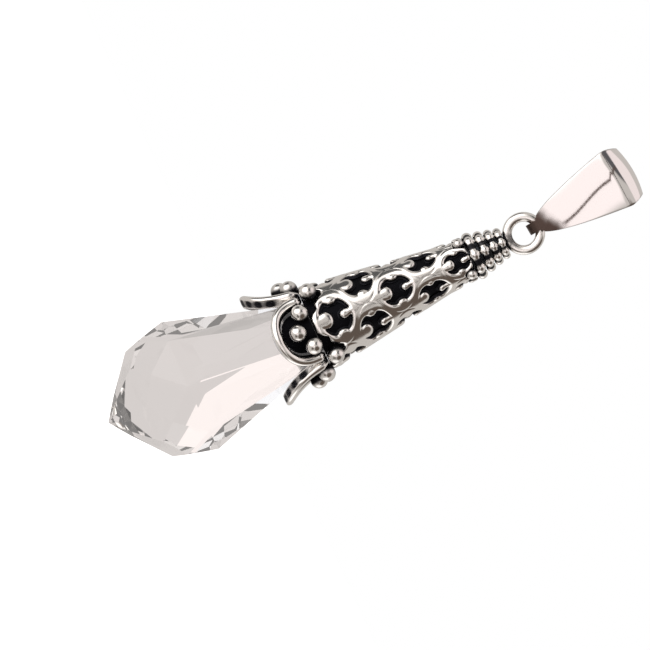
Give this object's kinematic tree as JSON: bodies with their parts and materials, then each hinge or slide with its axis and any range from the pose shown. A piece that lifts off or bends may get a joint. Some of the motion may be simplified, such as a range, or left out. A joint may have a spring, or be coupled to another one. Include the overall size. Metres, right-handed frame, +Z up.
{
  "type": "crystal drop pendant",
  "caption": "Faceted clear teardrop in a pierced, blackened silver cap with granulated petals and a beaded collar, hung by a small ring from a folded tapered bail.",
  "frame": {"origin": "middle of the inside of the bail's top bend, where the chain bears", "axes": "+Z up against gravity along the hanging drop's axis, front faces -Y, +X to the right seen from the front; the bail leans 6 degrees towards -X at rest"},
  "size_m": [0.012, 0.012, 0.0503],
  "materials": {
    "clear_crystal": "clear polished facets",
    "bright_silver": "polished silver, dark in the recesses",
    "mirror_silver": "mirror polished silver",
    "satin_silver": "satin silver, slightly oxidised",
    "blackened_silver": "sulphide blackened silver",
    "setting_cement": "hardened grey setting cement"
  },
  "bodies": {
    "bail": {"bail": "mirror_silver"},
    "ring": {"hanging_ring": "bright_silver"},
    "drop": {"cement_plug": "setting_cement", "collar_bead_ring_1": "bright_silver", "collar_bead_ring_2": "bright_silver", "collar_bead_ring_3": "bright_silver", "collar_bead_ring_4": "bright_silver", "collar_core": "satin_silver", "collar_foot_bead_0": "bright_silver", "collar_foot_bead_1": "bright_silver", "collar_foot_bead_2": "bright_silver", "collar_foot_bead_3": "bright_silver", "crystal_drop": "clear_crystal", "crystal_peg": "satin_silver", "granule_back_a": "bright_silver", "granule_back_b": "bright_silver", "granule_back_middle": "bright_silver", "granule_front_a": "bright_silver", "granule_front_b": "bright_silver", "granule_front_middle": "bright_silver", "granule_left_a": "bright_silver", "granule_left_b": "bright_silver", "granule_left_middle": "bright_silver", "granule_right_a": "bright_silver", "granule_right_b": "bright_silver", "granule_right_middle": "bright_silver", "granule_root_0": "bright_silver", "granule_root_1": "bright_silver", "granule_root_2": "bright_silver", "granule_root_3": "bright_silver", "inner_cup": "blackened_silver", "petal_plate_back": "blackened_silver", "petal_plate_front": "blackened_silver", "petal_plate_left": "blackened_silver", "petal_plate_right": "blackened_silver", "petal_rim_back": "bright_silver", "petal_rim_front": "bright_silver", "petal_rim_left": "bright_silver", "petal_rim_right": "bright_silver", "pierced_cap": "bright_silver", "solder_bead_1": "bright_silver", "solder_bead_2": "bright_silver", "solder_bead_3": "bright_silver", "solder_bead_4": "bright_silver"}
  },
  "joints": [
    {"name": "ring_swing", "type": "hinge", "parent": "bail", "child": "ring", "pos_m": [0.00094, 0, -0.00899], "axis": [0.9945, 0, 0.1045], "range_deg": [-75, 75]},
    {"name": "drop_slide", "type": "hinge", "parent": "ring", "child": "drop", "pos_m": [0.00109, 0, -0.01042], "axis": [0, 1, 0], "range_deg": [-90, 90]}
  ]
}
